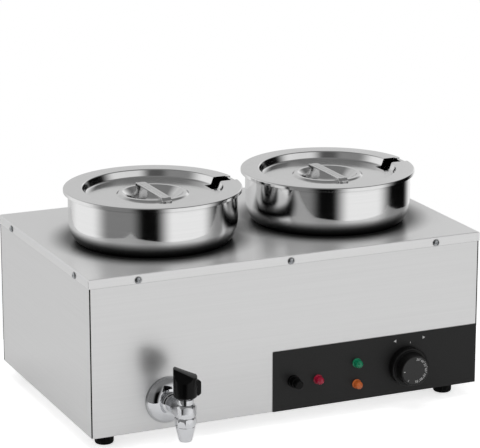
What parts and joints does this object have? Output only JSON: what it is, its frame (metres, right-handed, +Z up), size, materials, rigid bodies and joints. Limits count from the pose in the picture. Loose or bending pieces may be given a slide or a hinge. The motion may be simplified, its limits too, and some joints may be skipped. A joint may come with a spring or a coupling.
{
  "type": "two pot soup warmer",
  "caption": "Counter-top electric soup warmer: low stainless cabinet with a water bath, round inset pots with notched lids, a drain tap and a control panel.",
  "frame": {"origin": "centre of the box round the whole part, on the surface that it stands on", "axes": "+X along the cabinet to the right as seen from the front, +Y to the back, +Z up"},
  "size_m": [0.5852, 0.4574, 0.3125],
  "materials": {
    "stainless_brushed": "brushed stainless sheet",
    "stainless_deck": "fine brushed stainless sheet, more reflective",
    "stainless_polished": "polished pressed stainless",
    "stainless_satin": "satin pressed stainless",
    "chrome": "polished chrome plate on brass",
    "brass": "turned brass",
    "zinc_steel": "zinc plated steel",
    "black_panel": "black satin powder coat with pale printed marks",
    "black_plastic": "black glossy moulded plastic",
    "black_dial": "black moulded plastic with a printed face",
    "rubber_black": "black moulded rubber",
    "lens_green": "tinted clear lens",
    "lens_red": "tinted clear lens",
    "lens_orange": "tinted clear lens",
    "ceramic": "cream moulded phenolic",
    "element_steel": "heat darkened stainless tube"
  },
  "bodies": {
    "cabinet": {"deck": "stainless_deck", "deck_screws": "zinc_steel", "front_panel": "stainless_brushed", "back_panel": "stainless_brushed", "side_panel_left": "stainless_brushed", "side_panel_right": "stainless_brushed", "base_plate": "stainless_brushed", "base_screws": "zinc_steel", "feet": "rubber_black", "foot_screws": "zinc_steel", "foot_nuts": "zinc_steel", "water_tank": "stainless_satin", "heating_element": "element_steel", "element_nuts": "brass", "level_probe": "stainless_satin", "tap_escutcheon": "chrome", "tap_body": "chrome", "tap_bonnet": "chrome", "tap_gasket": "rubber_black", "tap_lock_nut": "brass", "drain_socket": "stainless_satin", "control_panel": "black_panel", "thermostat_body": "zinc_steel", "thermostat_screws": "zinc_steel", "capillary_bulb": "brass", "capillary_nut": "brass", "bulb_clip": "stainless_satin", "reset_switch": "black_dial", "reset_lock_nut": "black_plastic", "lamp_green": "lens_green", "lamp_red": "lens_red", "lamp_orange": "lens_orange", "lamp_holders": "ceramic", "terminal_block": "ceramic", "terminal_screws": "brass", "earth_stud": "brass", "cable_gland": "black_dial", "gland_dome_nut": "black_dial", "gland_seal": "rubber_black", "gland_lock_nut": "black_dial"},
    "left_pot": {"pot_left": "stainless_polished", "pot_left_well": "stainless_polished", "pot_left_base": "stainless_polished"},
    "right_pot": {"pot_right": "stainless_polished", "pot_right_well": "stainless_polished", "pot_right_base": "stainless_polished"},
    "left_lid": {"lid_left": "stainless_satin", "lid_handle_left": "stainless_satin"},
    "right_lid": {"lid_right": "stainless_satin", "lid_handle_right": "stainless_satin"},
    "tap_lever": {"tap_plug": "brass", "tap_knob": "black_plastic"},
    "dial": {"thermostat_dial": "black_dial", "thermostat_shaft": "zinc_steel"},
    "reset_pin": {"reset_button": "ceramic"},
    "reset_cover": {"reset_cap": "black_plastic"}
  },
  "joints": [
    {"name": "left_pot_lift", "type": "slide", "parent": "cabinet", "child": "left_pot", "axis": [0, 0, 1], "range_m": [0, 0.16]},
    {"name": "right_pot_lift", "type": "slide", "parent": "cabinet", "child": "right_pot", "axis": [0, 0, 1], "range_m": [0, 0.16]},
    {"name": "left_lid_lift", "type": "slide", "parent": "left_pot", "child": "left_lid", "axis": [0, 0, 1], "range_m": [0, 0.08]},
    {"name": "right_lid_lift", "type": "slide", "parent": "right_pot", "child": "right_lid", "axis": [0, 0, 1], "range_m": [0, 0.08]},
    {"name": "tap_turn", "type": "hinge", "parent": "cabinet", "child": "tap_lever", "pos_m": [-0.18, -0.2129, 0.0615], "axis": [0, 0, 1], "range_deg": [0, 90]},
    {"name": "dial_turn", "type": "hinge", "parent": "cabinet", "child": "dial", "pos_m": [0.1782, -0.1529, 0.061], "axis": [0, 1, 0], "range_deg": [0, 270]},
    {"name": "reset_press", "type": "slide", "parent": "cabinet", "child": "reset_pin", "axis": [0, 1, 0], "range_m": [0, 0.0025], "stiffness_N_per_m": 400, "springref_m": -0.001},
    {"name": "reset_cover_unscrew", "type": "slide", "parent": "cabinet", "child": "reset_cover", "axis": [0, -1, 0], "range_m": [0, 0.03]}
  ]
}
